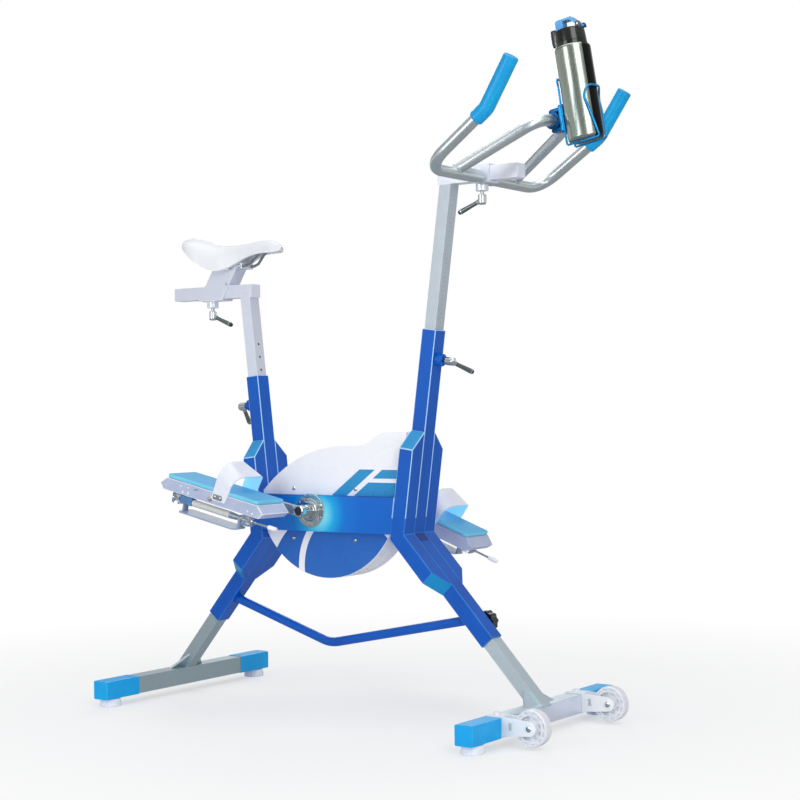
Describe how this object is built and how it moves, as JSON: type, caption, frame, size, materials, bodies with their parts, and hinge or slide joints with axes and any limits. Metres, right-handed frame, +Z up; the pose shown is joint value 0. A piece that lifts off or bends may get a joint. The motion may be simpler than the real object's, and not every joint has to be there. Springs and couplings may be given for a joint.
{
  "type": "aqua bike",
  "caption": "Pool exercise bike: a blue frame on two cross beams, with a water rotor in a fairing, pedals with foot straps and flaps, a sliding saddle and a looped handlebar.",
  "frame": {"origin": "on the floor, under the middle of the box that holds the whole bike", "axes": "+X forwards, from the saddle to the handlebar, +Y to the rider's left, +Z up"},
  "size_m": [1.21, 0.582, 1.5045],
  "materials": {
    "frame_blue": "gloss powder coat, deep blue",
    "satin_silver": "satin anodised",
    "chrome": "polished",
    "fairing_white": "gloss white with blue fields",
    "sky_blue": "moulded, light blue",
    "grip_blue": "soft, light blue",
    "pad_foam": "closed-cell foam, pale blue",
    "pedal_grey": "moulded, pale grey",
    "strap_white": "flexible, translucent white",
    "flap_clear": "translucent",
    "rotor_white": "moulded",
    "bearing_plastic": "self-lubricating bush",
    "lever_black": "black grip over a steel screw",
    "saddle_white": "gloss padded shell",
    "wire_steel": "bright",
    "bottle_steel": "brushed",
    "lid_black": "black",
    "flip_blue": "light blue",
    "cage_blue": "metallic sky blue",
    "foot_rubber": "white, non-marking",
    "wheel_clear": "translucent white"
  },
  "bodies": {
    "frame": {"rear_frame_leg": "frame_blue", "front_frame_leg": "frame_blue", "left_side_rail": "frame_blue", "right_side_rail": "frame_blue", "bottom_bar": "frame_blue", "left_fairing": "fairing_white", "right_fairing": "fairing_white", "left_bearing": "bearing_plastic", "right_bearing": "bearing_plastic", "left_bearing_flange": "chrome", "right_bearing_flange": "chrome", "rear_foot_frame": "satin_silver", "rear_left_cap": "sky_blue", "rear_right_cap": "sky_blue", "rear_left_foot": "foot_rubber", "rear_right_foot": "foot_rubber"},
    "crank": {"crank_axle": "wire_steel", "paddle_rotor": "rotor_white", "left_crank_arm": "chrome", "right_crank_arm": "chrome", "left_pedal_spindle": "wire_steel", "right_pedal_spindle": "wire_steel"},
    "left_pedal": {"left_pedal_body": "pedal_grey", "left_foot_pad": "pad_foam", "left_foot_strap": "strap_white", "left_flap_rod": "chrome"},
    "left_flap": {"left_resistance_flap": "flap_clear"},
    "right_pedal": {"right_pedal_body": "pedal_grey", "right_foot_pad": "pad_foam", "right_foot_strap": "strap_white", "right_flap_rod": "chrome"},
    "right_flap": {"right_resistance_flap": "flap_clear"},
    "seat_post": {"seat_post": "satin_silver"},
    "saddle_slider": {"saddle_slider": "satin_silver", "saddle_clamp": "satin_silver", "saddle_wires": "wire_steel", "saddle": "saddle_white"},
    "saddle_lever": {"saddle_lever": "lever_black"},
    "seat_height_lever": {"seat_height_lever": "lever_black"},
    "bar_post": {"bar_post": "satin_silver"},
    "bar_slider": {"bar_slider": "satin_silver", "handlebar": "satin_silver", "left_grip": "grip_blue", "right_grip": "grip_blue", "bottle_cage": "cage_blue"},
    "bar_reach_lever": {"bar_reach_lever": "lever_black"},
    "bar_height_lever": {"bar_height_lever": "lever_black"},
    "bottle": {"bottle": "bottle_steel", "bottle_lid": "lid_black"},
    "bottle_flip": {"bottle_flip": "flip_blue"},
    "front_foot": {"front_foot_frame": "satin_silver", "front_left_cap": "sky_blue", "front_right_cap": "sky_blue", "front_left_foot": "foot_rubber", "front_right_foot": "foot_rubber", "left_wheel_bracket": "satin_silver", "right_wheel_bracket": "satin_silver"},
    "left_wheel": {"left_wheel": "wheel_clear"},
    "right_wheel": {"right_wheel": "wheel_clear"},
    "front_leg_knob": {"front_leg_knob": "lever_black"}
  },
  "joints": [
    {"name": "crank_spin", "type": "hinge", "parent": "frame", "child": "crank", "pos_m": [-0.13246, 0, 0.459], "axis": [0, 1, 0], "continuous": true},
    {"name": "left_pedal_spin", "type": "hinge", "parent": "crank", "child": "left_pedal", "pos_m": [0.03666, 0, 0.42766], "axis": [0, 1, 0], "continuous": true},
    {"name": "right_pedal_spin", "type": "hinge", "parent": "crank", "child": "right_pedal", "pos_m": [-0.30158, 0, 0.49034], "axis": [0, 1, 0], "continuous": true},
    {"name": "left_flap_turn", "type": "hinge", "parent": "left_pedal", "child": "left_flap", "pos_m": [0.02716, 0.198, 0.40238], "axis": [0.9361, 0, -0.3518], "range_deg": [-45, 45]},
    {"name": "right_flap_turn", "type": "hinge", "parent": "right_pedal", "child": "right_flap", "pos_m": [-0.30733, -0.198, 0.46396], "axis": [0.977, 0, -0.213], "range_deg": [-45, 45]},
    {"name": "seat_height", "type": "slide", "parent": "frame", "child": "seat_post", "axis": [-0.1149, 0, 0.9934], "range_m": [-0.15, 0.09]},
    {"name": "saddle_slide", "type": "slide", "parent": "seat_post", "child": "saddle_slider", "axis": [1, 0, 0], "range_m": [-0.06, 0.03]},
    {"name": "saddle_lever_turn", "type": "hinge", "parent": "saddle_slider", "child": "saddle_lever", "pos_m": [-0.47827, 0, 0.95424], "axis": [0, 0, -1], "range_deg": [-90, 90]},
    {"name": "seat_height_lever_turn", "type": "hinge", "parent": "frame", "child": "seat_height_lever", "pos_m": [-0.34968, 0, 0.70177], "axis": [-0.9934, 0, -0.1149], "range_deg": [-90, 90]},
    {"name": "bar_height", "type": "slide", "parent": "frame", "child": "bar_post", "axis": [0.1392, 0, 0.9903], "range_m": [-0.2, 0.1]},
    {"name": "bar_reach", "type": "slide", "parent": "bar_post", "child": "bar_slider", "axis": [1, 0, 0], "range_m": [-0.015, 0.06]},
    {"name": "bar_reach_lever_turn", "type": "hinge", "parent": "bar_slider", "child": "bar_reach_lever", "pos_m": [0.30228, 0, 1.17549], "axis": [0, 0, -1], "range_deg": [-90, 90]},
    {"name": "bar_height_lever_turn", "type": "hinge", "parent": "frame", "child": "bar_height_lever", "pos_m": [0.18116, 0, 0.79702], "axis": [0.9903, 0, -0.1392], "range_deg": [-90, 90]},
    {"name": "bottle_lift", "type": "slide", "parent": "bar_slider", "child": "bottle", "axis": [-0.165, 0, 0.9863], "range_m": [0, 0.18]},
    {"name": "bottle_flip_open", "type": "hinge", "parent": "bottle", "child": "bottle_flip", "pos_m": [0.54957, 0, 1.4864], "axis": [0, 1, 0], "range_deg": [0, 110]},
    {"name": "front_leg_reach", "type": "slide", "parent": "frame", "child": "front_foot", "axis": [0.682, 0, -0.7314], "range_m": [0, 0.06]},
    {"name": "left_wheel_spin", "type": "hinge", "parent": "front_foot", "child": "left_wheel", "pos_m": [0.5155, 0.165, 0.044], "axis": [0, 1, 0], "continuous": true},
    {"name": "right_wheel_spin", "type": "hinge", "parent": "front_foot", "child": "right_wheel", "pos_m": [0.5155, -0.165, 0.044], "axis": [0, 1, 0], "continuous": true},
    {"name": "front_leg_knob_turn", "type": "hinge", "parent": "frame", "child": "front_leg_knob", "pos_m": [0.27981, 0, 0.2211], "axis": [0, 1, 0], "range_deg": [0, 360]}
  ]
}
